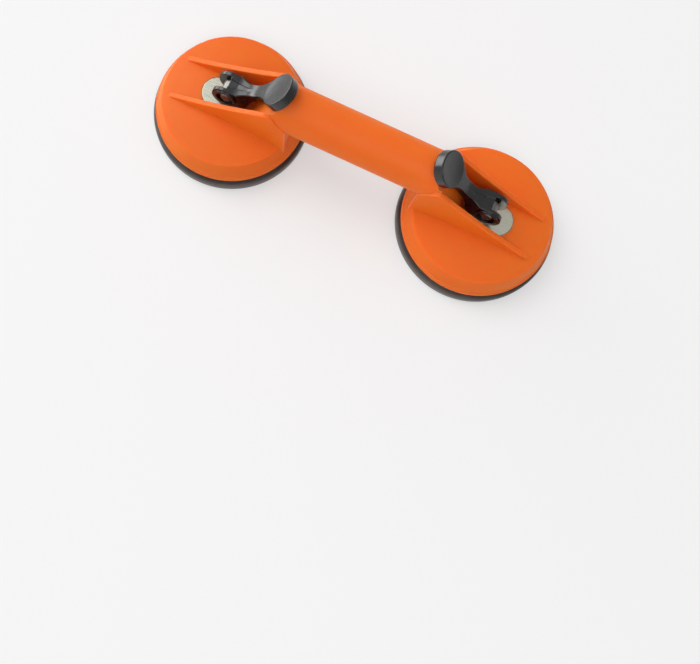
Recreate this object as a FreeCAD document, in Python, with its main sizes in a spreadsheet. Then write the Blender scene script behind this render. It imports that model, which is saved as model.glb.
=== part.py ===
"""Twin-cup suction lifter for floor tiles: a moulded body with a bar handle, two rubber cups,
and over each cup a cam lever that pulls the cup's middle up through a strap and a pin.

Frame: millimetres, origin on the floor midway between the cups, +X along the handle, +Z up.
Every cup is drawn in its own frame, with +X pointing outward from the handle, and the left
cup's pieces are the right cup's turned half a turn about Z.
"""
import FreeCAD, Part
import math
import os
import Sketcher
from FreeCAD import Placement, Rotation, Vector

doc = FreeCAD.newDocument("suction_lifter")
sheet = doc.addObject("Spreadsheet::Sheet", "Sizes")

SIZES = {
    # cups
    "cup_spacing": 200.0,           # between the two cups' axes
    "pad_radius": 58.9,             # rubber lip
    "pad_edge": 4.6,                # height of the lip's upright edge
    "pad_neck_depth": 1.6,          # dark gap between the lip and the housing's rim
    "pad_land_width": 13.0,         # flat sealing ring under the lip
    "pad_dish": 4.5,                # hollow under the middle with the lever locked
    "pad_dish_radius": 18.0,
    "pad_web": 6.5,                 # rubber under the insert plate
    "pad_hub_wall": 3.0,            # rubber around the insert plate
    "pad_gap": 0.2,                 # between the rubber and the housing's rim
    "bond_gap": 0.05,               # glue line around the insert plate
    # insert plate, strap, rivets and pin
    "insert_radius": 22.0,
    "insert_thickness": 2.5,
    "strap_width": 6.6,
    "strap_thickness": 2.5,
    "strap_bend": 1.5,              # inner radius of the foot's bend
    "strap_foot_reach": 14.0,
    "rivet_reach": 10.4,            # rivets' distance from the cup's axis
    "rivet_radius": 1.6,
    "rivet_head_radius": 2.9,
    "rivet_head_height": 1.2,
    "rivet_gap": 0.05,
    "pivot_height": 40.5,           # with the lever locked
    "pin_radius": 3.0,
    "pin_gap": 0.05,                # running fit of the fork on the pin
    "pin_head_radius": 4.2,
    "pin_head_height": 1.0,
    # wear plate
    "plate_length": 36.0,
    "plate_offset": 4.0,            # the plate reaches further outward than inward
    "plate_width": 24.2,
    "plate_thickness": 2.0,
    "plate_top": 27.2,
    "plate_gap": 0.15,
    "plate_bevel": 0.4,
    "slot_gap": 0.5,                # around the strap's legs
    # housing
    "rim_radius": 56.3,
    "rim_underside": 9.4,
    "rim_depth": 3.0,
    "skirt_radius": 55.0,
    "skirt_foot": 13.6,
    "crown_radius": 51.0,           # skirt's radius where the crown's rounded edge starts
    "crown_edge": 23.8,             # height of the crown's edge
    "crown_round": 2.0,
    "crown_rise": 4.2,
    "wall": 3.0,
    "hub_radius": 26.0,
    "hub_underside": 16.7,
    "hub_pocket_radius": 16.2,
    "hub_pocket_roof": 22.2,
    "rib_count": 12.0,
    "rib_thickness": 2.0,
    # handle
    "handle_radius": 16.5,
    "handle_axis": 52.7,
    "handle_straight": 96.0,        # length of even radius between the flared ends
    "handle_flare": 0.8,            # how much the radius grows toward each cheek
    "handle_end_reach": 36.5,       # its ends' distance from the cups' axes
    "handle_wall": 3.2,
    "handle_mouth": 18.0,           # width of the opening along the handle's underside
    "handle_core": 94.0,            # length that is cored out
    "handle_cells": 5.0,
    "handle_rib": 2.4,
    # cheeks, the two walls that carry the handle over each cup
    "cheek_half_width": 17.5,
    "cheek_wall": 3.7,
    "cheek_toe_reach": 41.6,
    "cheek_toe_height": 25.6,
    "cheek_top": 63.2,
    "cheek_top_reach": 37.0,
    "cheek_end_reach": 50.5,
    "cheek_sweep": 490.0,           # radius of the long curve along a cheek's crest
    "cheek_edge": 0.7,              # rounding of the cheeks' edges
    "cheek_crest": 7.0,             # rounding over the crest's highest point
    "cheek_foot": 15.2,
    "ramp_foot_gap": 3.0,           # from the wear plate's end to the foot of the ramp
    "ramp_foot_radius": 8.0,
    # lever
    "fork_width": 16.6,             # over the eyes' raised rims
    "fork_body": 14.8,
    "fork_gap": 9.8,
    "fork_gap_room": 0.65,          # around the strap's bend
    "block_top": 9.6,               # above the pin's axis
    "cam_gap": 0.1,                 # between the cam and the wear plate
    "cam_drop": 3.0,                # the cup's middle falls this far when the lever is open
    "cam_swing": 105.0,             # degrees from locked to open
    "cam_back_turn": 82.0,          # the cam's round back, behind the locked contact
    "heel_length": 4.2,
    "nose_radius": 10.5,
    "eye_radius": 8.3,
    "eye_web": 6.6,                 # radius of the recess in the fork's outer faces
    "eye_recess": 1.6,
    "neck_half_width": 4.7,
    "neck_behind_cam": 6.8,         # from the cam's back to the neck, along the paddle's slope
    "neck_end": 27.0,
    "neck_shoulder": 12.0,          # radius from the neck out to the fork
    "neck_top_sweep": 24.0,
    "neck_crease": 8.56858,         # degrees, between the paddle's underside and the neck's
    "neck_ease": 20.0,              # where the neck's underside meets the paddle's
    "groove_width": 6.4,
    "groove_depth": 1.3,
    "groove_length": 21.5,
    "paddle_radius": 12.3,
    "paddle_thickness": 7.5,
    "paddle_reach": 39.0,
    "paddle_rise": 28.0,
    "paddle_tilt": 45.0,
    "paddle_rim": 1.2,              # width of the rim around the paddle's shallow dish
    "paddle_dish": 0.6,
    "lever_top_edge": 0.7,
    "lever_under_edge": 1.4,
    "seat_gap": 0.4,                # between the paddle and the ramp it rests on
}

CAM_ARCS = 3                        # arcs that the cam's spiral is drawn with
GROOVE_SECTIONS = 4                 # along the lever's tapered groove
GROOVE_OVERRUN = 0.5                # so that the groove breaks out of the fork's edge
GROOVE_NARROWS = 0.92               # share of its width that it has lost at its far end
GROOVE_SHALLOWS = 0.8               # share of its depth that it has lost there
CUTTER_OVERRUN = 5.0                # how far a cutting shape runs past what it cuts

for row, (name, number) in enumerate(SIZES.items(), start=1):
    sheet.set(f"A{row}", name)
    sheet.set(f"B{row}", str(number))
    sheet.setAlias(f"B{row}", name)
doc.recompute()


class Size:
    """A length with its number and the expression that ties it to the sheet."""

    def __init__(self, number, text):
        self.number = number
        self.text = text

    def join(self, other, sign, number):
        other_text = other.text if isinstance(other, Size) else repr(float(other))
        return Size(number, f"({self.text} {sign} {other_text})")

    def __add__(self, other):
        return self.join(other, "+", self.number + value(other))

    def __sub__(self, other):
        return self.join(other, "-", self.number - value(other))

    def __mul__(self, other):
        return self.join(other, "*", self.number * value(other))

    def __truediv__(self, other):
        return self.join(other, "/", self.number / value(other))

    def __neg__(self):
        return self * -1

    def __radd__(self, other):
        return as_size(other) + self

    def __rsub__(self, other):
        return as_size(other) - self

    def __rmul__(self, other):
        return self * other


def value(length):
    return length.number if isinstance(length, Size) else float(length)


def as_size(length):
    return length if isinstance(length, Size) else Size(float(length), repr(float(length)))


def size(name):
    return Size(SIZES[name], f"Sizes.{name}")


def sine(degrees):
    return Size(math.sin(math.radians(degrees.number)), f"sin({degrees.text} * 1 deg)")


def cosine(degrees):
    return Size(math.cos(math.radians(degrees.number)), f"cos({degrees.text} * 1 deg)")


def square_root(number):
    return Size(math.sqrt(number.number), f"sqrt({number.text})")


def bind(thing, prop, length):
    thing.setExpression(prop, as_size(length).text)


# ---------------------------------------------------------------- sketch and feature helpers

def arc_between(start, end, radius):
    """The short arc from start to end: counter-clockwise for a positive radius."""
    chord = end - start
    across = Vector(-chord.y, chord.x, 0).normalize() * math.copysign(1, radius)
    centre = (start + end) / 2 + across * math.sqrt(radius ** 2 - (chord.Length / 2) ** 2)
    first, last = (start, end) if radius > 0 else (end, start)
    angles = [math.atan2(p.y - centre.y, p.x - centre.x) for p in (first, last)]
    return Part.ArcOfCircle(Part.Circle(centre, Vector(0, 0, 1), abs(radius)), *angles)


def draw_outline(sketch, corners):
    """Draws a closed outline. A corner is (x, y) or (x, y, radius of the arc to the next)."""
    base = len(sketch.Geometry)
    spots = [Vector(value(c[0]), value(c[1]), 0) for c in corners]
    ends = []
    for i, corner in enumerate(corners):
        start, end = spots[i], spots[(i + 1) % len(spots)]
        if len(corner) == 3:
            sketch.addGeometry(arc_between(start, end, value(corner[2])))
            ends.append((1, 2) if value(corner[2]) > 0 else (2, 1))
        else:
            sketch.addGeometry(Part.LineSegment(start, end))
            ends.append((1, 2))
    for i, corner in enumerate(corners):
        after = (i + 1) % len(corners)
        sketch.addConstraint(
            Sketcher.Constraint("Coincident", base + i, ends[i][1], base + after, ends[after][0]))
        for kind, length in (("DistanceX", corner[0]), ("DistanceY", corner[1])):
            held = Sketcher.Constraint(kind, -1, 1, base + i, ends[i][0], value(length))
            hold(sketch, held, length)
        if len(corner) == 3:
            radius = corner[2] if value(corner[2]) > 0 else -corner[2]
            hold(sketch, Sketcher.Constraint("Radius", base + i, value(radius)), radius)


def draw_circle(sketch, x, y, radius):
    centre = Vector(value(x), value(y), 0)
    geometry = sketch.addGeometry(Part.Circle(centre, Vector(0, 0, 1), value(radius)))
    hold(sketch, Sketcher.Constraint("DistanceX", -1, 1, geometry, 3, value(x)), x)
    hold(sketch, Sketcher.Constraint("DistanceY", -1, 1, geometry, 3, value(y)), y)
    hold(sketch, Sketcher.Constraint("Radius", geometry, value(radius)), radius)


def hold(sketch, constraint, length):
    number = sketch.addConstraint(constraint)
    bind(sketch, f"Constraints[{number}]", length)


def new_body(label):
    body = doc.addObject("PartDesign::Body", label)
    body.Label = label
    return body


def new_sketch(body, plane, name, offset=None):
    """A sketch on one of the body's origin planes, moved along the plane's normal."""
    sketch = body.newObject("Sketcher::SketchObject", name)
    planes = [f for f in body.Origin.OriginFeatures if f.Role == plane]
    sketch.AttachmentSupport = [(planes[0], "")]
    sketch.MapMode = "FlatFace"
    if offset is not None:
        bind(sketch, "AttachmentOffset.Base.z", offset)
    return sketch


def feature(body, kind, name, sketch, **settings):
    made = body.newObject(f"PartDesign::{kind}", name)
    made.Profile = sketch
    for prop, setting in settings.items():
        if isinstance(setting, Size):
            bind(made, prop, setting)
        else:
            setattr(made, prop, setting)
    doc.recompute()
    return made


def revolve(body, name, sketch, kind="Revolution"):
    return feature(body, kind, name, sketch, ReferenceAxis=(sketch, ["V_Axis"]), Angle=360.0)


def dress(body, kind, name, prop, amount, wanted):
    """A fillet or chamfer on every edge of the tip that `wanted` picks."""
    base = body.Tip
    edges = [f"Edge{i}" for i, edge in enumerate(base.Shape.Edges, start=1) if wanted(edge)]
    made = body.newObject(f"PartDesign::{kind}", name)
    made.Base = (base, edges)
    bind(made, prop, amount)
    doc.recompute()
    return made


def upright_sketch(name):
    """A free sketch whose x and y run along +X and +Z."""
    sketch = doc.addObject("Sketcher::SketchObject", name)
    sketch.Placement = Placement(Vector(), Rotation(Vector(1, 0, 0), 90))
    return sketch


def near(a, b, slack=1e-3):
    return abs(a - b) < slack


# ---------------------------------------------------------------- heights that pieces share

dish_roof = size("pad_dish")
insert_floor = dish_roof + size("pad_web")
insert_top = insert_floor + size("insert_thickness")
pad_shoulder = size("rim_underside") - size("pad_gap")
strap_inner = size("pin_radius") + size("pin_gap")
strap_outer = strap_inner + size("strap_thickness")
foot_top = insert_top + size("strap_thickness")
slot_half_length = strap_outer + size("slot_gap")
slot_half_width = size("strap_width") / 2 + size("slot_gap")
cam_high = size("pivot_height") - size("plate_top") - size("cam_gap")
cam_fall = size("cam_drop") / (size("cam_swing") * (math.pi / 180))     # per radian of swing
trough_half_width = size("cheek_half_width") - size("cheek_wall")
tilt = size("paddle_tilt")


# ---------------------------------------------------------------- the pieces over each cup

def make_rubber_pad(label):
    """Rubber cup: flat sealing ring, dished middle, hub with a recess for the insert plate."""
    body = new_body(label)
    sketch = new_sketch(body, "XZ_Plane", f"{label}_section")
    lip = size("pad_radius")
    neck = size("rim_radius") - size("pad_neck_depth")
    hub = size("insert_radius") + size("pad_hub_wall")
    recess = size("insert_radius") + size("bond_gap")
    recess_floor = insert_floor - size("bond_gap")
    draw_outline(sketch, [
        (0, dish_roof),
        (size("pad_dish_radius"), dish_roof),
        (lip - size("pad_land_width"), 0),
        (lip - 0.8, 0, 0.8),
        (lip, 0.8),
        (lip, size("pad_edge"), 1.6),
        (lip - 1.4, size("pad_edge") + 1.55),
        (neck, size("pad_edge") + 2.2),
        (neck, pad_shoulder),
        (neck - 5, pad_shoulder),
        (hub + 4, pad_shoulder + 1.6),
        (hub, pad_shoulder + 3.4),
        (hub, insert_top - 0.6, 0.6),
        (hub - 0.6, insert_top),
        (recess, insert_top),
        (recess, recess_floor),
        (0, recess_floor),
    ])
    revolve(body, f"{label}_ring", sketch)
    return body


def make_insert_plate(label):
    """Steel disc bonded into the rubber, with two countersunk rivet holes."""
    body = new_body(label)
    sketch = new_sketch(body, "XY_Plane", f"{label}_disc", offset=insert_floor)
    draw_circle(sketch, 0, 0, size("insert_radius"))
    feature(body, "Pad", f"{label}_blank", sketch, Length=size("insert_thickness"))
    for side in (-1, 1):
        hole = new_sketch(body, "XZ_Plane", f"{label}_hole_{side + 1}")
        draw_outline(hole, rivet_outline(size("rivet_gap"), insert_top + 1))
        bind(hole, "AttachmentOffset.Base.x", size("rivet_reach") * side)
        revolve(body, f"{label}_countersink_{side + 1}", hole, "Groove")
    return body


def rivet_outline(gap, top):
    """Half section of a rivet's countersunk foot and shank, drawn about its own axis."""
    return [
        (0, insert_floor - gap),
        (size("rivet_head_radius") + gap * 2, insert_floor - gap),
        (size("rivet_radius") + gap, insert_floor + size("rivet_head_height")),
        (size("rivet_radius") + gap, top),
        (0, top),
    ]


def make_stud_strap(label):
    """Steel strip bent over the pin, with two feet riveted to the insert plate."""
    body = new_body(label)
    sketch = new_sketch(body, "XZ_Plane", f"{label}_bend")
    pivot = size("pivot_height")
    bend_in = size("strap_bend")
    bend_out = bend_in + size("strap_thickness")
    foot_start = strap_outer + bend_in
    foot_end = size("strap_foot_reach")
    draw_outline(sketch, [
        (foot_end, insert_top),
        (foot_end, foot_top),
        (foot_start, foot_top, -bend_in),
        (strap_outer, foot_top + bend_in),
        (strap_outer, pivot, strap_outer),
        (0, pivot + strap_outer, strap_outer),
        (-strap_outer, pivot),
        (-strap_outer, foot_top + bend_in, -bend_in),
        (-foot_start, foot_top),
        (-foot_end, foot_top),
        (-foot_end, insert_top),
        (-foot_start, insert_top, bend_out),
        (-strap_inner, insert_top + bend_out),
        (-strap_inner, pivot, -strap_inner),
        (0, pivot + strap_inner, -strap_inner),
        (strap_inner, pivot),
        (strap_inner, insert_top + bend_out, bend_out),
        (foot_start, insert_top),
    ])
    feature(body, "Pad", f"{label}_strip", sketch, Length=size("strap_width"), Midplane=True)
    holes = new_sketch(body, "XY_Plane", f"{label}_holes", offset=foot_top)
    for side in (-1, 1):
        draw_circle(holes, size("rivet_reach") * side, 0, size("rivet_radius") + size("rivet_gap"))
    feature(body, "Pocket", f"{label}_rivet_holes", holes, Length=size("strap_thickness") * 1.5)

    def foot_corner(edge):
        upright = edge.BoundBox.ZLength > value(size("strap_thickness")) / 2
        return upright and near(abs(edge.CenterOfMass.x), value(foot_end))

    dress(body, "Fillet", f"{label}_corners", "Radius", size("strap_width") * 0.3, foot_corner)
    return body


def make_strap_rivets(label):
    """The strap's two rivets, flush under the insert plate and domed over the feet."""
    sketch = upright_sketch(f"{label}_section")
    head = size("rivet_head_radius")
    dome = size("rivet_head_height")
    outline = rivet_outline(0, foot_top)[:3] + [
        (size("rivet_radius"), foot_top),
        (head, foot_top),
        (head, foot_top + dome * 0.4),
        (head * 0.5, foot_top + dome),
        (0, foot_top + dome),
    ]
    draw_outline(sketch, outline)
    rivet = doc.addObject("Part::Revolution", f"{label}_one")
    rivet.Source = sketch
    rivet.Axis = Vector(0, 0, 1)
    rivet.Angle = 360.0
    rivet.Solid = True
    bind(rivet, "Placement.Base.x", size("rivet_reach"))
    twin = doc.addObject("Part::Mirroring", f"{label}_two")
    twin.Source = rivet
    twin.Normal = Vector(1, 0, 0)
    pair = doc.addObject("Part::Compound", label)
    pair.Label = label
    pair.Links = [rivet, twin]
    return pair


def make_pivot_pin(label):
    """Cross pin with a riveted head in each of the fork's outer recesses."""
    body = new_body(label)
    sketch = new_sketch(body, "XY_Plane", f"{label}_section", offset=size("pivot_height"))
    shoulder = size("fork_width") / 2 - size("eye_recess") + size("pin_gap")
    end = shoulder + size("pin_head_height")
    head = size("pin_head_radius")
    shank = size("pin_radius")
    draw_outline(sketch, [
        (0, -end),
        (head - 0.8, -end),
        (head, -end + 0.6),
        (head, -shoulder),
        (shank, -shoulder),
        (shank, shoulder),
        (head, shoulder),
        (head, end - 0.6),
        (head - 0.8, end),
        (0, end),
    ])
    revolve(body, f"{label}_turned", sketch)
    return body


def make_wear_plate(label):
    """Stadium-shaped steel plate that the cams slide on, with a slot for the strap."""
    body = new_body(label)
    sketch = new_sketch(body, "XY_Plane", f"{label}_outline",
                        offset=size("plate_top") - size("plate_thickness"))
    draw_outline(sketch, plate_outline(0))
    draw_outline(sketch, slot_outline())
    feature(body, "Pad", f"{label}_blank", sketch, Length=size("plate_thickness"))

    def outer_rim(edge):
        outside = abs(edge.CenterOfMass.y) > value(slot_half_width) + 1
        return outside and near(edge.BoundBox.ZMin, value(size("plate_top")))

    dress(body, "Chamfer", f"{label}_bevel", "Size", size("plate_bevel"), outer_rim)
    return body


def plate_outline(gap):
    """The wear plate's stadium shape, or its pocket's with a gap all round."""
    half = size("plate_width") / 2
    outer = size("plate_length") / 2 - half + size("plate_offset")
    inner = size("plate_offset") - (size("plate_length") / 2 - half)
    half = half + gap
    return [
        (outer, -half, half),
        (outer + half, 0, half),
        (outer, half),
        (inner, half, half),
        (inner - half, 0, half),
        (inner, -half),
    ]


def slot_outline():
    return [
        (-slot_half_length, -slot_half_width),
        (slot_half_length, -slot_half_width),
        (slot_half_length, slot_half_width),
        (-slot_half_length, slot_half_width),
    ]


def cam_point(part_of_swing):
    """The spiral's point that touches the plate after this part of the swing, and the radius
    of its curve there. A steady fall with the angle makes the spiral a circle's involute."""
    turn = size("cam_swing") * part_of_swing
    radius = cam_high - size("cam_drop") * part_of_swing
    x = radius * sine(turn) - cam_fall * cosine(turn)
    z = -(radius * cosine(turn) + cam_fall * sine(turn))
    return x, z, radius


def across_slope(along, above):
    """A point of the lever's side view from its distances along the paddle's slope, away from
    the pin, and square to it."""
    return (-along * cosine(tilt) + above * sine(tilt), along * sine(tilt) + above * cosine(tilt))


paddle_along = size("paddle_reach") * cosine(tilt) + size("paddle_rise") * sine(tilt)
paddle_above = size("paddle_rise") * cosine(tilt) - size("paddle_reach") * sine(tilt)
face_above = paddle_above + size("paddle_thickness") / 2
under_above = paddle_above - size("paddle_thickness") / 2
under_start = across_slope(paddle_along - size("paddle_radius") * 0.6, under_above)


def neck_rise_start():
    """Where the block's flat top starts to curve up into the neck, along X."""
    bend_rise = size("block_top") - face_above / cosine(tilt)
    run = size("neck_top_sweep") * sine(tilt / 2) / cosine(tilt / 2)
    return run - bend_rise * cosine(tilt) / sine(tilt)


def lever_side():
    """The lever's side view: spiral cam, round nose, flat block, sloping neck and paddle."""
    spiral = []
    for step in range(CAM_ARCS):
        start_x, start_z, start_radius = cam_point(step / CAM_ARCS)
        end_x, end_z, end_radius = cam_point((step + 1) / CAM_ARCS)
        spiral.append((start_x, start_z, (start_radius + end_radius) / 2))
    heel, swing, back = size("heel_length"), size("cam_swing"), size("cam_back_turn")
    top, sweep = size("block_top"), size("neck_top_sweep")
    rise_x = neck_rise_start()
    cam_x, cam_z = -cam_high * sine(back) - cam_fall, -cam_high * cosine(back)
    away_x, away_z = under_start[0] - cam_x, under_start[1] - cam_z
    run = away_z * sine(tilt) - away_x * cosine(tilt)
    drop = away_x * sine(tilt) + away_z * cosine(tilt)
    lean = run * sine(size("neck_crease")) + drop * cosine(size("neck_crease"))
    under_sweep = (run * run + drop * drop) / (lean * 2)
    far = paddle_along + size("paddle_radius")
    return spiral + [
        (end_x, end_z),
        (end_x + heel * cosine(swing), end_z + heel * sine(swing), size("nose_radius")),
        (0, top),
        (rise_x, top, -sweep),
        (rise_x - sweep * sine(tilt), top + sweep - sweep * cosine(tilt)),
        across_slope(far, face_above),
        across_slope(far, under_above),
        (*under_start, -under_sweep),
        (cam_x, cam_z, cam_high),
    ]


def lever_plan():
    """The lever's outline seen square to the paddle, from the fork to the paddle's far end."""
    fork, neck = size("fork_body") / 2, size("neck_half_width")
    round_end = size("paddle_radius")
    bend = size("neck_shoulder")
    widen = fork - neck
    neck_start = cam_high + size("neck_behind_cam")
    shoulder = neck_start - square_root(bend * widen * 2 - widen * widen)
    span = paddle_along - size("neck_end")
    flare = (span * span + neck * neck - round_end * round_end) / ((round_end - neck) * 2)
    meet = round_end / (flare + round_end)
    meet_x, meet_y = paddle_along - span * meet, (neck + flare) * meet
    back = -size("paddle_reach")
    return [
        (back, -fork),
        (shoulder, -fork, -bend),
        (neck_start, -neck),
        (size("neck_end"), -neck, -flare),
        (meet_x, -meet_y, round_end),
        (paddle_along + round_end, 0, round_end),
        (meet_x, meet_y, -flare),
        (size("neck_end"), neck),
        (neck_start, neck, -bend),
        (shoulder, fork),
        (back, fork),
    ]


def make_lever(label):
    """Cam lever: forked eye with a spiral cam below, waisted neck and tilted round paddle.
    Its frame has its origin on the pin's axis."""
    body = new_body(label)
    bind(body, "Placement.Base.z", size("pivot_height"))
    side = new_sketch(body, "XZ_Plane", f"{label}_side")
    draw_outline(side, lever_side())
    feature(body, "Pad", f"{label}_blank", side, Length=size("paddle_radius") * 2 + 2,
            Midplane=True)

    plan = new_sketch(body, "XY_Plane", f"{label}_plan")
    plan.AttachmentOffset = Placement(Vector(), Rotation(Vector(0, 1, 0), tilt.number + 180))
    bind(plan, "AttachmentOffset.Rotation.Angle", tilt + 180)
    draw_outline(plan, lever_plan())
    aside = size("paddle_radius") + CUTTER_OVERRUN
    behind = -size("paddle_reach") - CUTTER_OVERRUN
    ahead = paddle_along + aside
    draw_outline(plan, [(behind, -aside), (ahead, -aside), (ahead, aside), (behind, aside)])
    feature(body, "Pocket", f"{label}_plan_cut", plan, Type="ThroughAll", Midplane=True)
    round_lever(body, label)

    eye = new_sketch(body, "XZ_Plane", f"{label}_eye")
    draw_circle(eye, 0, 0, size("eye_radius"))
    feature(body, "Pad", f"{label}_eyes", eye, Length=size("fork_width"), Midplane=True)
    cut_fork(body, label)
    cut_groove(body, label)
    cut_dish(body, label)

    bore = new_sketch(body, "XZ_Plane", f"{label}_bore")
    draw_circle(bore, 0, 0, size("pin_radius") + size("pin_gap"))
    feature(body, "Pocket", f"{label}_pin_bore", bore, Type="ThroughAll", Midplane=True)
    web = size("fork_width") / 2 - size("eye_recess")
    for name, offset, toward in (("near", web, True), ("far", -web, False)):
        recess = new_sketch(body, "XZ_Plane", f"{label}_{name}_web", offset=offset)
        draw_circle(recess, 0, 0, size("eye_web"))
        feature(body, "Pocket", f"{label}_{name}_recess", recess, Reversed=toward,
                Length=size("eye_recess") * 2)
    return body


def round_lever(body, label):
    """Eases the crease under the paddle, then rounds the long edges of both faces."""
    end, middle = value(paddle_along), value(face_above + under_above) / 2
    crease = Vector(value(under_start[0]), 0, value(under_start[1]))

    def at_crease(edge):
        return (edge.CenterOfMass - crease).Length < 1

    def around_end(edge, face):
        x, z = edge.CenterOfMass.x, edge.CenterOfMass.z
        along = value(sine(tilt)) * z - value(cosine(tilt)) * x
        above = value(sine(tilt)) * x + value(cosine(tilt)) * z
        return abs(edge.CenterOfMass.y) > 4 and along > end and (above - middle) * face > 1

    dress(body, "Fillet", f"{label}_neck_ease", "Radius", size("neck_ease"), at_crease)
    dress(body, "Fillet", f"{label}_under_edge", "Radius", size("lever_under_edge"),
          lambda edge: around_end(edge, -1))
    dress(body, "Fillet", f"{label}_top_edge", "Radius", size("lever_top_edge"),
          lambda edge: around_end(edge, 1))


def cut_dish(body, label):
    """Shallow dish in the paddle's face, within a flat rim."""
    half = size("paddle_radius") - size("paddle_rim")
    deep = size("paddle_dish")
    sweep = (half * half + deep * deep) / (deep * 2)
    dish = new_sketch(body, "XZ_Plane", f"{label}_dish_section")
    dish.AttachmentOffset = Placement(Vector(), Rotation(Vector(0, 0, 1), -tilt.number))
    bind(dish, "AttachmentOffset.Rotation.Angle", tilt * -1)
    centre_x, centre_z = across_slope(paddle_along, face_above)
    bind(dish, "AttachmentOffset.Base.x", centre_x)
    bind(dish, "AttachmentOffset.Base.y", centre_z)
    draw_outline(dish, [
        (0, -deep, sweep),
        (half, 0),
        (half, CUTTER_OVERRUN),
        (0, CUTTER_OVERRUN),
    ])
    feature(body, "Groove", f"{label}_dish", dish, ReferenceAxis=(dish, ["V_Axis"]), Angle=360.0)


def cut_fork(body, label):
    """Opens the fork around the strap: round over its bend, and open below and outward."""
    room = strap_outer + size("fork_gap_room")
    gap = new_sketch(body, "XZ_Plane", f"{label}_fork")
    deep = cam_high * 1.5
    draw_outline(gap, [
        (0, room, room),
        (-room, 0),
        (-room, -deep),
        (deep, -deep),
        (deep, deep),
        (0, deep),
    ])
    feature(body, "Pocket", f"{label}_fork_gap", gap, Length=size("fork_gap"), Midplane=True)


def cut_groove(body, label):
    """Tapered groove along the top, wide at the fork and closing on the neck."""
    sweep, top = size("neck_top_sweep"), size("block_top")
    rise_start = neck_rise_start()
    groove = body.newObject("PartDesign::SubtractiveLoft", f"{label}_groove")
    sections = []
    for step in range(GROOVE_SECTIONS):
        part = step / (GROOVE_SECTIONS - 1)
        x = size("groove_length") * -part + GROOVE_OVERRUN
        width = size("groove_width") * (1 - part * GROOVE_NARROWS) / 2
        depth = size("groove_depth") * (1 - part * GROOVE_SHALLOWS)
        if value(x) > value(rise_start):
            height = top
        else:
            away = rise_start - x
            height = top + sweep - square_root(sweep * sweep - away * away)
        section = new_sketch(body, "YZ_Plane", f"{label}_groove_{step}", offset=x)
        floor = height - depth
        above = height + CUTTER_OVERRUN
        draw_outline(section, [
            (-width, floor),
            (width, floor),
            (width, above),
            (-width, above),
        ])
        sections.append(section)
    groove.Profile = sections[0]
    groove.Sections = sections[1:]
    groove.Ruled = True
    doc.recompute()


# ---------------------------------------------------------------- the moulded body

def make_lifter_body(label):
    """One moulding: two hollow cup housings, the cheeks and ramps over them, and the handle."""
    half_pitch = size("cup_spacing") / 2
    handle = doc.addObject("Part::Cut", "handle_with_troughs")
    handle.Base = make_handle_bar()
    handle.Tool = joined("both_troughs", both_cups(make_trough(), half_pitch))
    shell = doc.addObject("Part::MultiFuse", "solid_body")
    shell.Shapes = [handle]
    for part in (make_housing_shell(), make_ramp(), make_cheek("near", -1), make_cheek("far", 1)):
        shell.Shapes += both_cups(part, half_pitch)
    hollows = both_cups(make_cavity(), half_pitch)
    for maker in (make_plate_pocket, make_strap_slot, make_hub_pocket):
        hollows += both_cups(maker(), half_pitch)
    hollows += make_handle_cores()
    body = doc.addObject("Part::Cut", label)
    body.Label = label
    body.Base = shell
    body.Tool = joined("all_hollows", hollows)
    body.Refine = True
    return body


def joined(name, shapes):
    group = doc.addObject("Part::Compound", name)
    group.Links = shapes
    return group


def both_cups(part, half_pitch):
    """The part moved to the right cup, and its mirror image over the left cup."""
    bind(part, "Placement.Base.x", half_pitch)
    twin = doc.addObject("Part::Mirroring", f"{part.Name}_left")
    twin.Source = part
    twin.Normal = Vector(1, 0, 0)
    return [part, twin]


def turned_solid(name, corners):
    """A solid of revolution about its own Z axis."""
    sketch = upright_sketch(f"{name}_section")
    draw_outline(sketch, corners)
    solid = doc.addObject("Part::Revolution", name)
    solid.Source = sketch
    solid.Axis = Vector(0, 0, 1)
    solid.Angle = 360.0
    solid.Solid = True
    return solid


def flat_solid(name, corners, width):
    """An outline in the XZ plane, made `width` thick to both sides of it."""
    sketch = upright_sketch(f"{name}_side")
    draw_outline(sketch, corners)
    solid = doc.addObject("Part::Extrusion", name)
    solid.Base = sketch
    solid.DirMode = "Normal"
    solid.Solid = True
    solid.Symmetric = True
    bind(solid, "LengthFwd", width)
    return solid


def make_housing_shell():
    """Outside of a cup housing: rim flange, steep skirt, rounded edge and low crown."""
    rim, under = size("rim_radius"), size("rim_underside")
    skirt, crown = size("skirt_radius"), size("crown_radius")
    turn = size("crown_round")
    edge = crown - turn
    rise = size("crown_rise")
    crown_sweep = (edge * edge + rise * rise) / (rise * 2)
    return turned_solid("housing", [
        (0, under),
        (rim - 0.6, under, 0.6),
        (rim, under + 0.6),
        (rim, under + size("rim_depth"), 1.3),
        (skirt, size("skirt_foot")),
        (crown, size("crown_edge") - turn * 0.9, turn),
        (edge, size("crown_edge"), crown_sweep),
        (0, size("crown_edge") + rise),
    ])


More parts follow.
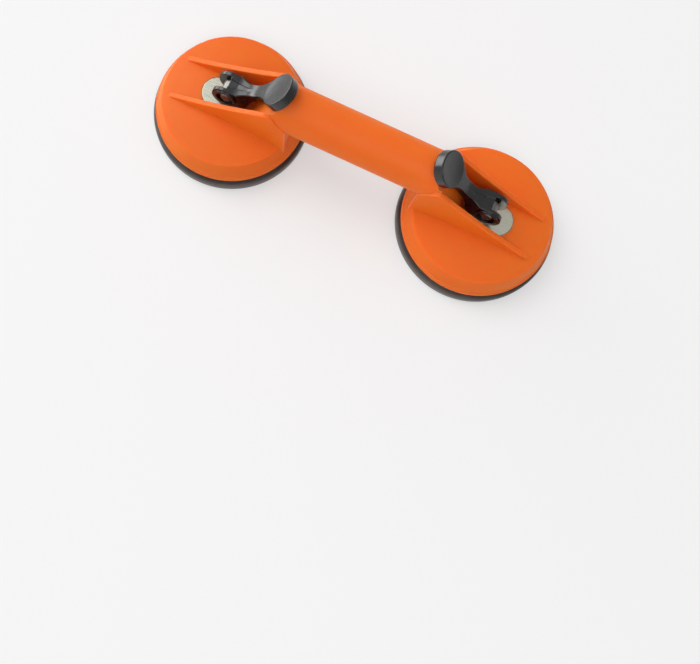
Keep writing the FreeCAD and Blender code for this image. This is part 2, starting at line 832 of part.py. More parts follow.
def make_cavity():
    """Inside of a cup housing, up to the hub that carries the wear plate."""
    wall = size("wall")
    rim, under = size("rim_radius"), size("rim_underside")
    hub = size("hub_radius")
    roof = size("crown_edge") + size("crown_rise") * 0.7 - wall
    plain = turned_solid("cavity_outline", [
        (0, under - 5),
        (rim - wall, under - 5),
        (rim - wall, under + size("rim_depth")),
        (size("skirt_radius") - wall, size("skirt_foot")),
        (size("crown_radius") - wall, size("crown_edge") - wall),
        (hub, roof),
        (hub, size("hub_underside")),
        (0, size("hub_underside")),
    ])
    ribs = []
    thick = size("rib_thickness")
    count = int(SIZES["rib_count"])
    for i in range(count):
        turn = 360 * (i + 0.5) / count
        rib = doc.addObject("Part::Box", f"rib_{i}")
        rib.Placement = Placement(Vector(), Rotation(Vector(0, 0, 1), turn))
        bind(rib, "Length", size("crown_radius"))
        bind(rib, "Width", thick)
        bind(rib, "Height", size("crown_edge"))
        bind(rib, "Placement.Base.x", thick * (math.sin(math.radians(turn)) / 2))
        bind(rib, "Placement.Base.y", thick * (math.cos(math.radians(turn)) / -2))
        bind(rib, "Placement.Base.z", size("hub_underside"))
        ribs.append(rib)
    cavity = doc.addObject("Part::Cut", "cavity")
    cavity.Base = plain
    cavity.Tool = joined("ribs", ribs)
    return cavity


def make_cheek(name, side):
    """One of the two walls over a cup, with a long swept crest and rounded edges."""
    end, top = size("cheek_end_reach"), size("cheek_top")
    drop = end - size("cheek_top_reach")
    wall = flat_solid(f"{name}_cheek_wall", [
        (size("cheek_toe_reach"), size("cheek_foot")),
        (size("cheek_toe_reach"), size("cheek_toe_height"), -size("cheek_sweep")),
        (-size("cheek_top_reach"), top),
        (-end, top - drop),
        (-end, size("cheek_foot")),
    ], size("cheek_wall"))
    centre = (size("cheek_half_width") - size("cheek_wall") / 2) * side
    bind(wall, "Placement.Base.y", centre)
    doc.recompute()
    side_y, foot = value(centre), SIZES["cheek_foot"] + 1
    crest = round_edges(f"{name}_cheek_crest", wall, SIZES["cheek_crest"], lambda edge: (
        near(edge.CenterOfMass.y, side_y) and near(edge.CenterOfMass.z, SIZES["cheek_top"])))
    return round_edges(f"{name}_cheek", crest, SIZES["cheek_edge"], lambda edge: (
        edge.BoundBox.ZMax > foot and (
            not near(edge.CenterOfMass.y, side_y)
            or near(edge.CenterOfMass.z, SIZES["cheek_toe_height"]))))


def round_edges(name, base, radius, wanted):
    """The solid with every edge that `wanted` picks rounded."""
    rounded = doc.addObject("Part::Fillet", name)
    rounded.Base = base
    rounded.Edges = [
        (i, radius, radius) for i, edge in enumerate(base.Shape.Edges, start=1) if wanted(edge)
    ]
    doc.recompute()
    return rounded


def seat_line(along):
    """A point of the face that the paddle rests on, from its distance down the slope."""
    under = size("paddle_thickness") / 2 + size("seat_gap")
    x = -size("paddle_reach") - sine(tilt) * under
    z = size("pivot_height") + size("paddle_rise") - cosine(tilt) * under
    return (x + cosine(tilt) * along, z - sine(tilt) * along)


def ramp_face():
    """The face under the lever, from the seat's lower end down to the wear plate's level."""
    foot = size("plate_length") / 2 - size("plate_offset") + size("ramp_foot_gap")
    low_end = seat_line(size("paddle_radius") + 0.8)
    return [
        low_end,
        (-foot - 2, size("plate_top") + size("ramp_foot_radius"), size("ramp_foot_radius")),
        (-foot, size("plate_top")),
    ]


def make_trough():
    """Room for the lever, cut out of the handle's ends."""
    high = size("paddle_radius") * 3
    front = size("cheek_toe_reach") + CUTTER_OVERRUN
    low_end, foot_start, foot_end = ramp_face()
    return flat_solid("trough", [
        (front, size("cheek_foot") - 1),
        (front, size("cheek_top") + high),
        seat_line(-high),
        low_end,
        foot_start,
        foot_end,
        (foot_end[0], size("cheek_foot") - 1),
    ], trough_half_width * 2)


def make_ramp():
    """The block between the cheeks that carries the handle and that the paddle rests on."""
    back = size("cheek_end_reach") - 1
    under_handle = size("handle_end_reach") + 0.5
    under = size("paddle_thickness") / 2 + size("seat_gap")
    rise = under_handle - size("paddle_reach") - sine(tilt) * under
    low_end, foot_start, foot_end = ramp_face()
    return flat_solid("ramp", [
        (-back, size("cheek_foot")),
        (foot_end[0], size("cheek_foot")),
        (*foot_end, -size("ramp_foot_radius")),
        foot_start[:2],
        low_end,
        seat_line(-rise / cosine(tilt)),
        (-under_handle, size("handle_axis")),
        (-back, size("handle_axis")),
    ], (trough_half_width + 1) * 2)


def make_handle_bar():
    """Round bar of even radius, flaring a little toward the cheeks at both ends."""
    radius, flare = size("handle_radius"), size("handle_flare")
    half = size("cup_spacing") / 2 - size("handle_end_reach")
    straight = size("handle_straight") / 2
    run = half - straight
    sweep = (run * run + flare * flare) / (flare * 2)
    bar = turned_solid("handle_bar", [
        (0, -half),
        (radius + flare, -half, -sweep),
        (radius, -straight),
        (radius, straight, -sweep),
        (radius + flare, half),
        (0, half),
    ])
    bar.Placement = Placement(Vector(), Rotation(Vector(0, 1, 0), 90))
    bind(bar, "Placement.Base.z", size("handle_axis"))
    return bar


def make_handle_cores():
    """Cells cored out of the handle from below, with a rib left between each two."""
    cells = int(SIZES["handle_cells"])
    pitch = size("handle_core") / cells
    length = pitch - size("handle_rib")
    bore = size("handle_radius") - size("handle_wall")
    cores = []
    for i in range(cells):
        start = pitch * i - size("handle_core") / 2 + size("handle_rib") / 2
        round_part = doc.addObject("Part::Cylinder", f"core_bore_{i}")
        bind(round_part, "Radius", bore)
        bind(round_part, "Height", length)
        round_part.Placement = Placement(Vector(), Rotation(Vector(0, 1, 0), 90))
        bind(round_part, "Placement.Base.x", start)
        bind(round_part, "Placement.Base.z", size("handle_axis"))
        mouth = doc.addObject("Part::Box", f"core_mouth_{i}")
        bind(mouth, "Length", length)
        bind(mouth, "Width", size("handle_mouth"))
        bind(mouth, "Height", size("handle_radius") + 1)
        bind(mouth, "Placement.Base.x", start)
        bind(mouth, "Placement.Base.y", size("handle_mouth") / -2)
        bind(mouth, "Placement.Base.z", size("handle_axis") - size("handle_radius") - 1)
        core = doc.addObject("Part::Fuse", f"core_{i}")
        core.Base = round_part
        core.Tool = mouth
        cores.append(core)
    half_mouth = size("handle_mouth") / 2
    lips = square_root(size("handle_radius") * size("handle_radius") - half_mouth * half_mouth)
    step = doc.addObject("Part::Box", "core_step")
    bind(step, "Length", size("handle_core") - size("handle_rib"))
    bind(step, "Width", size("handle_mouth"))
    bind(step, "Height", size("handle_radius") - lips + size("handle_rib"))
    bind(step, "Placement.Base.x", (size("handle_core") - size("handle_rib")) / -2)
    bind(step, "Placement.Base.y", size("handle_mouth") / -2)
    bind(step, "Placement.Base.z", size("handle_axis") - size("handle_radius") - 1)
    return cores + [step]


def make_plate_pocket():
    """Recess that the wear plate lies in."""
    sketch = doc.addObject("Sketcher::SketchObject", "plate_pocket_outline")
    draw_outline(sketch, plate_outline(size("plate_gap")))
    return raised_solid("plate_pocket", sketch, size("plate_top") - size("plate_thickness"), 10)


def raised_solid(name, sketch, floor, height):
    solid = doc.addObject("Part::Extrusion", name)
    solid.Base = sketch
    solid.DirMode = "Normal"
    solid.Solid = True
    bind(solid, "LengthFwd", height)
    bind(solid, "Placement.Base.z", floor)
    return solid


def make_strap_slot():
    sketch = doc.addObject("Sketcher::SketchObject", "strap_slot_outline")
    draw_outline(sketch, slot_outline())
    return raised_solid("strap_slot", sketch, size("rim_underside"), 30)


def make_hub_pocket():
    """Room under the hub for the strap's feet."""
    pocket = doc.addObject("Part::Cylinder", "hub_pocket")
    bind(pocket, "Radius", size("hub_pocket_radius"))
    bind(pocket, "Height", size("hub_pocket_roof") - size("rim_underside"))
    bind(pocket, "Placement.Base.z", size("rim_underside"))
    return pocket


# ---------------------------------------------------------------- build, check and write

def over_cup(piece, sign):
    """Moves a piece from its cup's frame to the right cup (sign 1) or the left one (-1)."""
    piece.Placement = Placement(piece.Placement.Base, Rotation(Vector(0, 0, 1), 90 - 90 * sign))
    bind(piece, "Placement.Base.x", size("cup_spacing") / 2 * sign)
    return piece


MAKERS = {
    "rubber_pad": make_rubber_pad,
    "insert_plate": make_insert_plate,
    "stud_strap": make_stud_strap,
    "strap_rivets": make_strap_rivets,
    "pivot_pin": make_pivot_pin,
    "wear_plate": make_wear_plate,
    "lever": make_lever,
}

pieces = [make_lifter_body("lifter_body")]
for side, sign in (("left", -1), ("right", 1)):
    for name, maker in MAKERS.items():
        pieces.append(over_cup(maker(f"{side}_{name}"), sign))
doc.recompute()

for thing in doc.Objects:
    if "Invalid" in thing.State or "Error" in thing.State:
        raise RuntimeError(f"{thing.Name} failed: {thing.State}")
for piece in pieces:
    if piece.Shape.isNull() or not piece.Shape.isValid():
        raise RuntimeError(f"{piece.Label} has a bad shape")

os.makedirs("parts", exist_ok=True)
for piece in pieces:
    piece.Shape.exportStep(f"parts/{piece.Label}.step")
    box = piece.Shape.BoundBox
    print(f"{piece.Label}: {len(piece.Shape.Solids)} solid, {piece.Shape.Volume:.0f} mm3,"
          f" z {box.ZMin:.2f} to {box.ZMax:.2f}")
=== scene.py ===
"""Twin-cup suction lifter for floor tiles: finishes, rubber cups and stage, laid out as a
Blender add-on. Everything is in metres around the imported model, with the cups on the floor."""
import math

import bmesh
import bpy
from mathutils import Euler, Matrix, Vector


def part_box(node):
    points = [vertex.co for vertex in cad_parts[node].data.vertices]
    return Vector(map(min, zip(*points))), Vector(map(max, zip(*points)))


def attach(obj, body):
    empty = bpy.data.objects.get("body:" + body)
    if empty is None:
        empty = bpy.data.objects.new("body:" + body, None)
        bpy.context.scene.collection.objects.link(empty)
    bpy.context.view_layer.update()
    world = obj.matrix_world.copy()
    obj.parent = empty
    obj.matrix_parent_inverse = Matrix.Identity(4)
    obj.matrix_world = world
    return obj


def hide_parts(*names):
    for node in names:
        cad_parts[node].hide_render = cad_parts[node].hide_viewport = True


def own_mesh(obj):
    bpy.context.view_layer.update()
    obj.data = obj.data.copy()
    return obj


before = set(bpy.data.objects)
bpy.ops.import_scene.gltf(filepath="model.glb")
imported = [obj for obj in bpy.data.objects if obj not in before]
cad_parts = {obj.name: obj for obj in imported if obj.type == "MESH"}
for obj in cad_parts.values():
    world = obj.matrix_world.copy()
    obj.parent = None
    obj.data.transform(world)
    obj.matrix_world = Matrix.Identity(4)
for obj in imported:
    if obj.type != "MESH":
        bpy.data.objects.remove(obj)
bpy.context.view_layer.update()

bl_info = {
    "name": "Suction Lifter",
    "version": (1, 0, 0),
    "blender": (4, 5, 0),
    "location": "3D View > Sidebar > Lifter",
    "description": "Finishes, rubber cups and stage for a twin-cup suction lifter",
    "category": "Object",
}

MM = 0.001
SIDES = ("left", "right")
PAD_LOW, PAD_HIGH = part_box("right_rubber_pad")
CUP_X = (PAD_LOW[0] + PAD_HIGH[0]) / 2       # from the lifter's middle to a cup's axis
CUP_RADIUS = (PAD_HIGH[0] - PAD_LOW[0]) / 2
NOISE_LOW = 0.3                              # nearly all of a noise lies between these
NOISE_HIGH = 0.7


def linear(code):
    """An sRGB colour written as six hex digits, as the linear colour that shaders take."""
    channels = [int(code[i:i + 2], 16) / 255 for i in (0, 2, 4)]
    return tuple(c / 12.92 if c <= 0.04045 else ((c + 0.055) / 1.055) ** 2.4 for c in channels)


# ------------------------------------------------------------------------------- settings

COLOUR = {"subtype": "COLOR", "size": 3, "min": 0, "max": 1}    # said of every colour
LENGTH = {"unit": "LENGTH", "precision": 5}                     # said of every length


class LifterColours(bpy.types.PropertyGroup):
    """Colours of the lifter's finishes and of the stage"""
    abs_orange: bpy.props.FloatVectorProperty(
        name="Orange ABS", description="Moulded body", default=linear("EE7319"), **COLOUR)
    abs_deep: bpy.props.FloatVectorProperty(
        name="Deep orange", description="Body where the pigment lies thicker",
        default=linear("EC6B15"), **COLOUR)
    # Paler edge colour: partly real rubbing, partly a painted highlight along the body's crests.
    abs_scuff_and_highlight: bpy.props.FloatVectorProperty(
        name="Scuffed and highlit orange", description="Body's rubbed edges, with painted highlight",
        default=linear("FFB07A"), **COLOUR)
    rubber: bpy.props.FloatVectorProperty(
        name="Rubber", description="Cups", default=linear("241D1B"), **COLOUR)
    rubber_bloom: bpy.props.FloatVectorProperty(
        name="Rubber bloom", description="Cups' greyish patches",
        default=linear("6E6662"), **COLOUR)
    # The lip's outer edge is painted paler with this colour: painted light on its lit upper
    # face.
    rubber_lip_light: bpy.props.FloatVectorProperty(
        name="Rubber lip light", description="Cups' lips, painted paler at the edge as if lit",
        default=linear("665D58"), **COLOUR)
    nylon: bpy.props.FloatVectorProperty(
        name="Black nylon", description="Levers", default=linear("0B0B0C"), **COLOUR)
    zinc: bpy.props.FloatVectorProperty(
        name="Zinc", description="Straps, pins, rivets and insert plates",
        default=linear("706F6D"), **COLOUR)
    zinc_pale: bpy.props.FloatVectorProperty(
        name="Pale zinc", description="Lighter mottles of the zinc",
        default=linear("969591"), **COLOUR)
    steel: bpy.props.FloatVectorProperty(
        name="Rolled steel", description="Wear plates", default=linear("C9C9B8"), **COLOUR)
    steel_pale: bpy.props.FloatVectorProperty(
        name="Pale rolled steel", description="Lighter lines of the wear plates",
        default=linear("E3E3D2"), **COLOUR)
    floor: bpy.props.FloatVectorProperty(
        name="Floor", description="Paper under the lifter", default=linear("F1F0F0"), **COLOUR)
    surroundings: bpy.props.FloatVectorProperty(
        name="Surroundings", description="Studio walls and ceiling",
        default=linear("FFFFFF"), **COLOUR)


class LifterSizes(bpy.types.PropertyGroup):
    """Widths of the lifter's edges and surface patterns"""
    edge_round: bpy.props.FloatProperty(
        name="Edge rounding", description="Radius that catches light along moulded edges",
        default=0.7 * MM, min=0, max=3 * MM, **LENGTH)
    grain: bpy.props.FloatProperty(
        name="Mould grain", description="Width of a pit of the spark-eroded mould",
        default=0.35 * MM, min=0.05 * MM, max=2 * MM, **LENGTH)
    scratch: bpy.props.FloatProperty(
        name="Scratch spacing", description="Across the rolled steel's fine lines",
        default=0.25 * MM, min=0.05 * MM, max=2 * MM, **LENGTH)


# ------------------------------------------------------------------------------- materials

def add_node(tree, kind, inputs=None, **settings):
    """Adds a node with its own settings. Its inputs are {socket name or number: feed}: an
    output socket is linked, and any other feed is the socket's constant."""
    node = tree.nodes.new(kind)
    for name, setting in settings.items():
        setattr(node, name, setting)
    for name, feed in (inputs or {}).items():
        if isinstance(feed, bpy.types.NodeSocket):
            tree.links.new(feed, node.inputs[name])
        else:
            node.inputs[name].default_value = feed
    return node


def new_material(name):
    """A material with an empty node tree."""
    made = bpy.data.materials.new(name)
    made.use_nodes = True
    made.node_tree.nodes.clear()
    return made, made.node_tree


def finish_material(tree, shader):
    """Covers the whole surface with the shader."""
    add_node(tree, "ShaderNodeOutputMaterial", {"Surface": shader.outputs[0]})


def colour4(rgb):
    """A colour as colour sockets take it, wholly opaque."""
    return (*rgb, 1.0)


def worn_and_lit_edges(tree, radius, full_at, none_at):
    """1 on outer edges and 0 on flat faces and in inner corners: how far the rounded
    normal leans away, where nothing stands close by. The mark is partly real rubbing and
    partly a painted highlight on the edges that catch light. It is full, or nothing, where the
    lean's cosine has these values."""
    crowded = 0.75
    clear = 0.95
    round_normal = add_node(tree, "ShaderNodeBevel", {"Radius": radius}, samples=6)
    flat_normal = add_node(tree, "ShaderNodeNewGeometry").outputs["Normal"]
    lean = add_node(tree, "ShaderNodeVectorMath", {
        0: round_normal.outputs[0], 1: flat_normal}, operation="DOT_PRODUCT")
    edge = add_node(tree, "ShaderNodeMapRange", {
        "Value": lean.outputs["Value"],
        "From Min": none_at, "From Max": full_at, "To Min": 0.0, "To Max": 1.0})
    openness = add_node(tree, "ShaderNodeAmbientOcclusion", {"Distance": radius * 2}, samples=6)
    reachable = add_node(tree, "ShaderNodeMapRange", {
        "Value": openness.outputs["AO"],
        "From Min": crowded, "From Max": clear, "To Min": 0.0, "To Max": 1.0})
    return add_node(tree, "ShaderNodeMath", {
        0: edge.outputs[0], 1: reachable.outputs[0]}, operation="MULTIPLY").outputs[0]


def abs_colour(tree, place, smear, colours, sizes):
    """The orange ABS's colour: faint flow clouds, and paler edges, partly rubbed unevenly and
    partly a painted highlight along the crests.
    """
    cloud_width = 35 * MM
    clouds = add_node(tree, "ShaderNodeTexNoise", {
        "Vector": place, "Scale": 1 / cloud_width, "Detail": 3.0, "Roughness": 0.5})
    clouded = add_node(tree, "ShaderNodeMix", {
        0: clouds.outputs["Fac"], "A": colour4(colours.abs_orange),
        "B": colour4(colours.abs_deep)}, data_type="RGBA")
    # Paler outer edges: real rubbing plus a painted highlight on the crests.
    rub_and_highlight = worn_and_lit_edges(tree, radius=sizes.edge_round * 1.5, full_at=0.86, none_at=0.985)
    patchy = add_node(tree, "ShaderNodeMapRange", {
        "Value": smear.outputs["Fac"],
        "From Min": NOISE_LOW, "From Max": NOISE_HIGH, "To Min": 0.45, "To Max": 1.0})
    patchy_rub_and_highlight = add_node(tree, "ShaderNodeMath", {
        0: rub_and_highlight, 1: patchy.outputs[0]}, operation="MULTIPLY")
    scuffed_and_highlit = add_node(tree, "ShaderNodeMix", {
        0: patchy_rub_and_highlight.outputs[0], "A": clouded.outputs["Result"],
        "B": colour4(colours.abs_scuff_and_highlight)}, data_type="RGBA")
    return scuffed_and_highlit.outputs["Result"]


def orange_abs(colours, sizes):
    """ABS, injection moulded in a lightly spark-eroded mould: an even, saturated orange with a
    soft broad shine, light that sinks a little way in, and paler edges, partly rubbed by hands
    and partly a painted highlight."""
    made, tree = new_material("orange_abs_moulded")
    place = add_node(tree, "ShaderNodeTexCoord").outputs["Object"]
    smear_width = 4 * MM
    smear = add_node(tree, "ShaderNodeTexNoise", {
        "Vector": place, "Scale": 1 / smear_width, "Detail": 4.0})
    colour = abs_colour(tree, place, smear, colours, sizes)
    # The real grain is finer: it is drawn as coarse as it needs to show.
    grain = add_node(tree, "ShaderNodeTexNoise", {
        "Vector": place, "Scale": 1 / sizes.grain, "Detail": 2.0})
    rough = add_node(tree, "ShaderNodeMapRange", {
        "Value": smear.outputs["Fac"],
        "From Min": NOISE_LOW, "From Max": NOISE_HIGH, "To Min": 0.48, "To Max": 0.56})
    soft_edge = add_node(tree, "ShaderNodeBevel", {"Radius": sizes.edge_round}, samples=8)
    bump = add_node(tree, "ShaderNodeBump", {
        "Height": grain.outputs["Fac"], "Normal": soft_edge.outputs[0],
        "Strength": 0.25, "Distance": 0.02 * MM})
    shader = add_node(tree, "ShaderNodeBsdfPrincipled", {
        "Base Color": colour, "Roughness": rough.outputs[0], "Normal": bump.outputs[0],
        "IOR": 1.53, "Specular IOR Level": 0.25, "Subsurface Weight": 0.8,
        "Subsurface Scale": 5 * MM, "Subsurface Radius": (1.0, 0.15, 0.05)})
    finish_material(tree, shader)
    return made


def black_nylon(colours, sizes):
    """Glass-filled nylon from a polished mould: deep black with a clear, slightly wavy gloss
    and a few dull handling marks."""
    made, tree = new_material("black_nylon_moulded")
    place = add_node(tree, "ShaderNodeTexCoord").outputs["Object"]
    mark_width = 6 * MM
    wave_width = 3 * MM
    marks = add_node(tree, "ShaderNodeTexNoise", {
        "Vector": place, "Scale": 1 / mark_width, "Detail": 6.0, "Roughness": 0.6})
    rough = add_node(tree, "ShaderNodeMapRange", {
        "Value": marks.outputs["Fac"],
        "From Min": 0.35, "From Max": 0.75, "To Min": 0.2, "To Max": 0.34})
    waves = add_node(tree, "ShaderNodeTexNoise", {
        "Vector": place, "Scale": 1 / wave_width, "Detail": 1.0})
    soft_edge = add_node(tree, "ShaderNodeBevel", {"Radius": sizes.edge_round}, samples=8)
    bump = add_node(tree, "ShaderNodeBump", {
        "Height": waves.outputs["Fac"], "Normal": soft_edge.outputs[0],
        "Strength": 0.25, "Distance": 0.03 * MM})
    shader = add_node(tree, "ShaderNodeBsdfPrincipled", {
        "Base Color": colour4(colours.nylon), "Roughness": rough.outputs[0],
        "Normal": bump.outputs[0], "IOR": 1.53, "Specular IOR Level": 0.65})
    finish_material(tree, shader)
    return made


def lip_reach(tree, place):
    """How far a point of either cup lies from that cup's axis."""
    spread = add_node(tree, "ShaderNodeSeparateXYZ", {0: place})
    from_middle = add_node(tree, "ShaderNodeMath", {0: spread.outputs["X"]},
                           operation="ABSOLUTE")
    from_axis = add_node(tree, "ShaderNodeMath", {0: from_middle.outputs[0], 1: CUP_X},
                         operation="SUBTRACT")
    offset = add_node(tree, "ShaderNodeCombineXYZ", {
        "X": from_axis.outputs[0], "Y": spread.outputs["Y"]})
    reach = add_node(tree, "ShaderNodeVectorMath", {0: offset.outputs[0]}, operation="LENGTH")
    return reach.outputs["Value"]


def black_rubber(colours):
    """Moulded natural rubber: warm black with a satin skin, a greyish bloom in patches, a lip
    whose outer edge is painted paler as if lit (painted light), and a fine pebble left by the
    mould."""
    made, tree = new_material("black_rubber_moulded")
    place = add_node(tree, "ShaderNodeTexCoord").outputs["Object"]
    bloom_width = 14 * MM
    pebble_width = 0.5 * MM
    lip_light_start = CUP_RADIUS - 1.9 * MM
    lip_light_full = CUP_RADIUS - 0.2 * MM
    bloom = add_node(tree, "ShaderNodeTexNoise", {
        "Vector": place, "Scale": 1 / bloom_width, "Detail": 5.0, "Roughness": 0.6})
    bloom_part = add_node(tree, "ShaderNodeMapRange", {
        "Value": bloom.outputs["Fac"],
        "From Min": 0.45, "From Max": 0.75, "To Min": 0.0, "To Max": 0.25})
    bloomed = add_node(tree, "ShaderNodeMix", {
        0: bloom_part.outputs[0], "A": colour4(colours.rubber),
        "B": colour4(colours.rubber_bloom)}, data_type="RGBA")
    # Painted light: the lip grows paler towards its outer edge, as its lit upper face.
    lip = add_node(tree, "ShaderNodeMapRange", {
        "Value": lip_reach(tree, place),
        "From Min": lip_light_start, "From Max": lip_light_full, "To Min": 0.0, "To Max": 0.7})
    lip_lit = add_node(tree, "ShaderNodeMix", {
        0: lip.outputs[0], "A": bloomed.outputs["Result"],
        "B": colour4(colours.rubber_lip_light)}, data_type="RGBA")
    pebble = add_node(tree, "ShaderNodeTexVoronoi", {
        "Vector": place, "Scale": 1 / pebble_width})
    bump = add_node(tree, "ShaderNodeBump", {
        "Height": pebble.outputs["Distance"], "Strength": 0.2, "Distance": 0.05 * MM})
    shader = add_node(tree, "ShaderNodeBsdfPrincipled", {
        "Base Color": lip_lit.outputs["Result"], "Normal": bump.outputs[0],
        "Roughness": 0.42, "IOR": 1.52})
    finish_material(tree, shader)
    return made


def zinc_plated(colours):
    """Zinc on bent steel strip, turned pins and discs: a plain grey metal, a little dulled,
    with soft mottling in its tone and shine."""
    made, tree = new_material("zinc_plated_steel")
    place = add_node(tree, "ShaderNodeTexCoord").outputs["Object"]
    mottle_width = 1.5 * MM
    mottle = add_node(tree, "ShaderNodeTexNoise", {
        "Vector": place, "Scale": 1 / mottle_width, "Detail": 4.0})
    tint = add_node(tree, "ShaderNodeMix", {
        0: mottle.outputs["Fac"], "A": colour4(colours.zinc),
        "B": colour4(colours.zinc_pale)}, data_type="RGBA")
    rough = add_node(tree, "ShaderNodeMapRange", {
        "Value": mottle.outputs["Fac"],
        "From Min": NOISE_LOW, "From Max": NOISE_HIGH, "To Min": 0.26, "To Max": 0.40})
    soft_edge = add_node(tree, "ShaderNodeBevel", {"Radius": 0.3 * MM}, samples=6)
    shader = add_node(tree, "ShaderNodeBsdfPrincipled", {
        "Base Color": tint.outputs["Result"], "Roughness": rough.outputs[0],
        "Normal": soft_edge.outputs[0], "Metallic": 1.0})
    finish_material(tree, shader)
    return made


def rolled_steel(colours, sizes):
    """Bright rolled steel plate: a warm silver with fine lines along the rolling direction.
    The real lines are finer: they are drawn as coarse as they need to show."""
    made, tree = new_material("bright_rolled_steel")
    place = add_node(tree, "ShaderNodeTexCoord").outputs["Object"]
    width_to_length = 0.02
    stretch = add_node(tree, "ShaderNodeMapping", {
        "Vector": place, "Scale": (width_to_length, 1.0, 1.0)})
    lines = add_node(tree, "ShaderNodeTexNoise", {
        "Vector": stretch.outputs[0], "Scale": 1 / sizes.scratch, "Detail": 3.0})
    tint = add_node(tree, "ShaderNodeMix", {
        0: lines.outputs["Fac"], "A": colour4(colours.steel),
        "B": colour4(colours.steel_pale)}, data_type="RGBA")
    rough = add_node(tree, "ShaderNodeMapRange", {
        "Value": lines.outputs["Fac"],
        "From Min": NOISE_LOW, "From Max": NOISE_HIGH, "To Min": 0.24, "To Max": 0.34})
    soft_edge = add_node(tree, "ShaderNodeBevel", {"Radius": 0.25 * MM}, samples=6)
    bump = add_node(tree, "ShaderNodeBump", {
        "Height": lines.outputs["Fac"], "Normal": soft_edge.outputs[0],
        "Strength": 0.05, "Distance": 0.01 * MM})
    shader = add_node(tree, "ShaderNodeBsdfPrincipled", {
        "Base Color": tint.outputs["Result"], "Roughness": rough.outputs[0],
        "Normal": bump.outputs[0], "Metallic": 1.0})
    finish_material(tree, shader)
    return made


def white_paper(colours):
    """Matt white paper. Two fifths of what the eye, or a reflection, sees of it is an even
    glow, so that it stays white and the lifter's shadow stays pale. The glow lights nothing."""
    made, tree = new_material("floor_paper")
    glow_share = 0.4
    paper = add_node(tree, "ShaderNodeBsdfPrincipled", {
        "Base Color": colour4(colours.floor), "Roughness": 0.9})
    glow = add_node(tree, "ShaderNodeEmission", {"Strength": 0.93})
    rays = add_node(tree, "ShaderNodeLightPath").outputs
    mirrored = add_node(tree, "ShaderNodeMath", {
        0: rays["Is Glossy Ray"], 1: rays["Is Transmission Ray"]}, operation="ADD")
    seen = add_node(tree, "ShaderNodeMath", {
        0: rays["Is Camera Ray"], 1: mirrored.outputs[0]}, operation="MAXIMUM")
    share = add_node(tree, "ShaderNodeMath", {0: seen.outputs[0], 1: glow_share},
                     operation="MULTIPLY", use_clamp=True)
    finish_material(tree, add_node(tree, "ShaderNodeMixShader", {
        0: share.outputs[0], 1: paper.outputs[0], 2: glow.outputs[0]}))
    return made


# ------------------------------------------------------------------------------- pieces

def smooth_shading(piece):
    """Even shading over rounded faces, with crisp edges where faces meet at an angle."""
    weld = piece.modifiers.new("weld", "WELD")
    weld.merge_threshold = 0.001 * MM
    split = piece.modifiers.new("crisp_edges", "EDGE_SPLIT")
    split.split_angle = math.radians(30)
    even = piece.modifiers.new("even_shading", "WEIGHTED_NORMAL")
    even.keep_sharp = True


def dress_node(node, material):
    """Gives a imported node's mesh one finish."""
    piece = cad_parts[node]
    piece.data.materials.clear()
    piece.data.materials.append(material)


def make_cup(side, material):
    """A rubber cup in its clamped shape: a copy of the imported cup's mesh, hung on the
    housing in place of the imported node."""
    node, slide = f"{side}_rubber_pad", f"{side}_stud_drop"
    cup = bpy.data.objects.new(f"{side}_rubber_cup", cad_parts[node].data.copy())
    bpy.context.scene.collection.objects.link(cup)
    cup.data.materials.clear()
    cup.data.materials.append(material)
    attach(cup, "housing")
    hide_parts(node)
    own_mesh(cup)


# ------------------------------------------------------------------------------- stage

def make_floor(colours):
    """A wide square sheet of paper that the cups stand on."""
    half_side = 6.0
    corners = ((-1, -1), (1, -1), (1, 1), (-1, 1))
    mesh = bpy.data.meshes.new("floor")
    shape = bmesh.new()
    shape.faces.new([shape.verts.new((x * half_side, y * half_side, 0)) for x, y in corners])
    shape.to_mesh(mesh)
    shape.free()
    mesh.materials.append(white_paper(colours))
    floor = bpy.data.objects.new("floor", mesh)
    bpy.context.scene.collection.objects.link(floor)


def make_surroundings(colours):
    """Studio walls and ceiling that glow evenly, brighter at the left than at the right."""
    left_level = 0.66
    right_level = 0.41
    world = bpy.data.worlds.new("studio")
    bpy.context.scene.world = world
    world.use_nodes = True
    tree = world.node_tree
    tree.nodes.clear()
    toward = add_node(tree, "ShaderNodeTexCoord").outputs["Generated"]
    across = add_node(tree, "ShaderNodeSeparateXYZ", {0: toward})
    level = add_node(tree, "ShaderNodeMapRange", {
        "Value": across.outputs["X"],
        "From Min": -1.0, "From Max": 1.0, "To Min": left_level, "To Max": right_level})
    glow = add_node(tree, "ShaderNodeBackground", {
        "Color": colour4(colours.surroundings), "Strength": level.outputs[0]})
    add_node(tree, "ShaderNodeOutputWorld", {"Surface": glow.outputs[0]})


def make_lamp(name, place, power, **shape):
    """A soft lamp with its power in watts, aimed at the floor under the lifter's middle."""
    lamp = bpy.data.lights.new(name, "AREA")
    lamp.energy = power
    for prop, setting in shape.items():
        setattr(lamp, prop, setting)
    holder = bpy.data.objects.new(name, lamp)
    holder.location = place
    holder.rotation_euler = (-holder.location).to_track_quat("-Z", "Y").to_euler()
    bpy.context.scene.collection.objects.link(holder)


def make_lamps():
    """A wide soft lamp high at the left, a weaker one high in front, and a long low one at
    the left that lights the cups' skirts."""
    make_lamp("soft_box", place=(-2.9, 0.8, 3.0), power=70, shape="DISK", size=3.0)
    make_lamp("front_fill", place=(0.5, -1.7, 2.9), power=28, shape="DISK", size=2.0)
    make_lamp("side_box", place=(-3.0, 1.0, 0.45), power=44, shape="RECTANGLE", size=3.4,
              size_y=0.9)


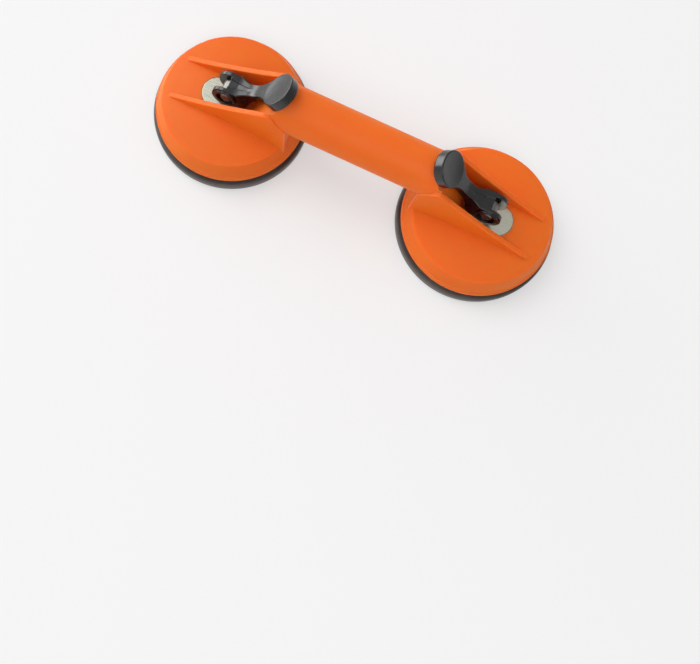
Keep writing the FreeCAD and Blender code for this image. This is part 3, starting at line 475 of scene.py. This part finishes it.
def make_camera():
    """Looks steeply down from the front, turned about its own axis, so that the lifter lies
    slantwise in the upper part of the view."""
    data = bpy.data.cameras.new("camera")
    data.lens = 36
    data.sensor_width = 36
    data.shift_x = 0.0986
    data.shift_y = -0.0014
    camera = bpy.data.objects.new("camera", data)
    camera.location = Vector((24.30, -207.29, 504.62)) * MM
    turn = (8.3687, -1.4579, 25.1970)
    camera.rotation_euler = Euler([math.radians(angle) for angle in turn], "XYZ")
    bpy.context.scene.collection.objects.link(camera)
    bpy.context.scene.camera = camera


# ------------------------------------------------------------------------------- operators

class LIFTER_OT_body(bpy.types.Operator):
    """Finishes the moulded body with its housings, cheeks and handle"""
    bl_idname = "lifter.body"
    bl_label = "Body"

    def execute(self, context):
        scene = context.scene
        material = orange_abs(scene.lifter_colours, scene.lifter_sizes)
        dress_node("lifter_body", material)
        return {"FINISHED"}


class LIFTER_OT_pads(bpy.types.Operator):
    """Makes the two rubber cups"""
    bl_idname = "lifter.pads"
    bl_label = "Rubber cups"

    def execute(self, context):
        material = black_rubber(context.scene.lifter_colours)
        for side in SIDES:
            make_cup(side, material)
        return {"FINISHED"}


class LIFTER_OT_levers(bpy.types.Operator):
    """Finishes the two cam levers"""
    bl_idname = "lifter.levers"
    bl_label = "Cam levers"

    def execute(self, context):
        scene = context.scene
        material = black_nylon(scene.lifter_colours, scene.lifter_sizes)
        for side in SIDES:
            dress_node(f"{side}_lever", material)
            smooth_shading(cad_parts[f"{side}_lever"])
        return {"FINISHED"}


class LIFTER_OT_steel(bpy.types.Operator):
    """Finishes the wear plates, straps, pins, rivets and insert plates"""
    bl_idname = "lifter.steel"
    bl_label = "Steel pieces"

    def execute(self, context):
        scene = context.scene
        plated = zinc_plated(scene.lifter_colours)
        rolled = rolled_steel(scene.lifter_colours, scene.lifter_sizes)
        for side in SIDES:
            dress_node(f"{side}_wear_plate", rolled)
            for kind in ("insert_plate", "stud_strap", "strap_rivets", "pivot_pin"):
                dress_node(f"{side}_{kind}", plated)
        return {"FINISHED"}


class LIFTER_OT_stage(bpy.types.Operator):
    """Builds the floor, the pale surroundings, the soft lamps and the camera"""
    bl_idname = "lifter.stage"
    bl_label = "Stage"

    def execute(self, context):
        colours = context.scene.lifter_colours
        make_floor(colours)
        make_surroundings(colours)
        make_lamps()
        make_camera()
        context.scene.view_settings.view_transform = "Standard"
        return {"FINISHED"}


class LIFTER_PT_panel(bpy.types.Panel):
    """Sidebar panel that lists the lifter's steps and settings"""
    bl_idname = "LIFTER_PT_panel"
    bl_label = "Suction lifter"
    bl_space_type = "VIEW_3D"
    bl_region_type = "UI"
    bl_category = "Lifter"

    def draw(self, context):
        for group in (context.scene.lifter_colours, context.scene.lifter_sizes):
            for name in group.__annotations__:
                self.layout.prop(group, name)
        for operator in OPERATORS:
            self.layout.operator(operator.bl_idname)


OPERATORS = (LIFTER_OT_body, LIFTER_OT_pads, LIFTER_OT_levers, LIFTER_OT_steel,
             LIFTER_OT_stage)
CLASSES = (LifterColours, LifterSizes, *OPERATORS, LIFTER_PT_panel)


def register():
    for kind in CLASSES:
        bpy.utils.register_class(kind)
    bpy.types.Scene.lifter_colours = bpy.props.PointerProperty(type=LifterColours)
    bpy.types.Scene.lifter_sizes = bpy.props.PointerProperty(type=LifterSizes)


def unregister():
    del bpy.types.Scene.lifter_sizes
    del bpy.types.Scene.lifter_colours
    for kind in reversed(CLASSES):
        bpy.utils.unregister_class(kind)


def main():
    register()
    bpy.ops.lifter.body()
    bpy.ops.lifter.pads()
    bpy.ops.lifter.levers()
    bpy.ops.lifter.steel()
    bpy.ops.lifter.stage()


if __name__ == "__main__":
    main()
